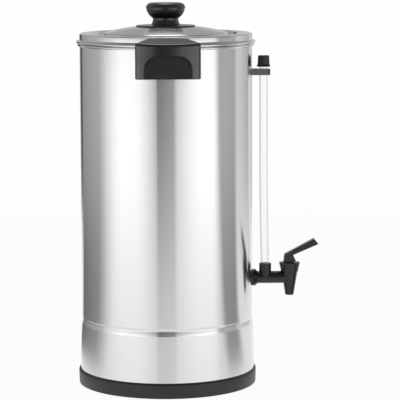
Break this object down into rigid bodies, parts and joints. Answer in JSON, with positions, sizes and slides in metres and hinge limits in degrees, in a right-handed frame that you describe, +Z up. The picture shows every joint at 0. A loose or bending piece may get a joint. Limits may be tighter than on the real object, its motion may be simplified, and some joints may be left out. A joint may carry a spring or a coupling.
{
  "type": "coffee urn",
  "caption": "Large percolating coffee urn in brushed steel with black trim, a loose lid, two side handles, a press-down tap and a sight gauge",
  "frame": {"origin": "on the urn's vertical axis, on the surface it stands on", "axes": "+Z up, +X towards the tap, handles on -Y and +Y"},
  "size_m": [0.3586, 0.326, 0.5659],
  "materials": {
    "brushed_shell": "brushed round the tank",
    "brushed_lid": "pressed, brushed in rings",
    "steel": "mill finish",
    "strap_steel": "grey satin",
    "black_plastic": "satin black moulding",
    "bakelite": "dark brown resin",
    "pale_plastic": "natural moulding",
    "nylon": "natural moulding",
    "heater_sheath": "dull heater sheath",
    "fuse_case": "plated",
    "brass": "bright",
    "lamp_lens": "amber lens",
    "lead_sleeve": "heatproof sleeve",
    "soft_seal": "silicone",
    "black_rubber": "black sealing ring",
    "clear_tube": "clear",
    "aluminium": "spun, matte"
  },
  "bodies": {
    "urn": {"tank_wall": "brushed_shell", "tank_floor": "steel", "base_ring": "black_plastic", "bottom_plate": "steel", "wall_brackets": "steel", "base_screws": "steel", "main_heater": "heater_sheath", "warming_heater": "heater_sheath", "element_terminals": "steel", "thermostat": "bakelite", "thermostat_clip": "steel", "thermal_fuse": "fuse_case", "fuse_saddle": "steel", "cord_gland": "black_plastic", "terminal_block": "pale_plastic", "block_screws": "brass", "ready_lamp": "lamp_lens", "lamp_clip": "steel", "supply_leads": "lead_sleeve", "heater_leads": "lead_sleeve", "lamp_leads": "lead_sleeve", "front_handle": "black_plastic", "rear_handle": "black_plastic", "handle_seals": "soft_seal", "handle_screws": "steel", "tap_body": "black_plastic", "tap_outer_seal": "black_rubber", "tap_inner_seal": "soft_seal", "tap_washer": "steel", "tap_nut": "nylon", "bonnet": "black_plastic", "tap_spring": "steel", "gauge_tube": "clear_tube", "tube_grommet": "soft_seal", "gauge_bracket": "strap_steel", "tube_clip": "black_plastic", "bracket_rivet": "steel", "rivet_seal": "soft_seal"},
    "lid": {"lid": "brushed_lid", "knob_collar": "black_plastic", "lid_knob": "black_plastic", "knob_washer": "steel", "knob_screw": "steel"},
    "stem": {"tap_stem": "steel", "seat_cup": "soft_seal"},
    "lever": {"tap_lever": "black_plastic", "lever_pin": "steel"},
    "gauge_cap": {"gauge_cap": "black_plastic"},
    "pump": {"pump_base": "aluminium", "pump_tube": "aluminium", "pump_collar": "aluminium"},
    "valve": {"pump_valve": "steel"},
    "basket": {"coffee_basket": "aluminium"},
    "cover": {"basket_cover": "aluminium"}
  },
  "joints": [
    {"name": "lid_lift", "type": "slide", "parent": "urn", "child": "lid", "axis": [0, 0, 1], "range_m": [0, 0.08]},
    {"name": "lever_press", "type": "hinge", "parent": "stem", "child": "lever", "pos_m": [0.1832, 0, 0.1844], "axis": [0, 1, 0], "range_deg": [0, 38]},
    {"name": "stem_lift", "type": "slide", "parent": "urn", "child": "stem", "axis": [0, 0, 1], "range_m": [0, 0.00265], "stiffness_N_per_m": 400, "springref_m": -0.008, "deforming": ["tap_spring"]},
    {"name": "cap_pull", "type": "slide", "parent": "urn", "child": "gauge_cap", "axis": [0, 0, 1], "range_m": [0, 0.025]},
    {"name": "pump_lift", "type": "slide", "parent": "urn", "child": "pump", "axis": [0, 0, 1], "range_m": [0, 0.02]},
    {"name": "valve_lift", "type": "slide", "parent": "pump", "child": "valve", "axis": [0, 0, 1], "range_m": [0, 0.0026]},
    {"name": "basket_lift", "type": "slide", "parent": "pump", "child": "basket", "axis": [0, 0, 1], "range_m": [0, 0.01]},
    {"name": "cover_lift", "type": "slide", "parent": "basket", "child": "cover", "axis": [0, 0, 1], "range_m": [0, 0.008]}
  ],
  "couplings": [
    {"joint": "lever_press", "follows": "stem_lift", "rad_per_m": 250}
  ]
}
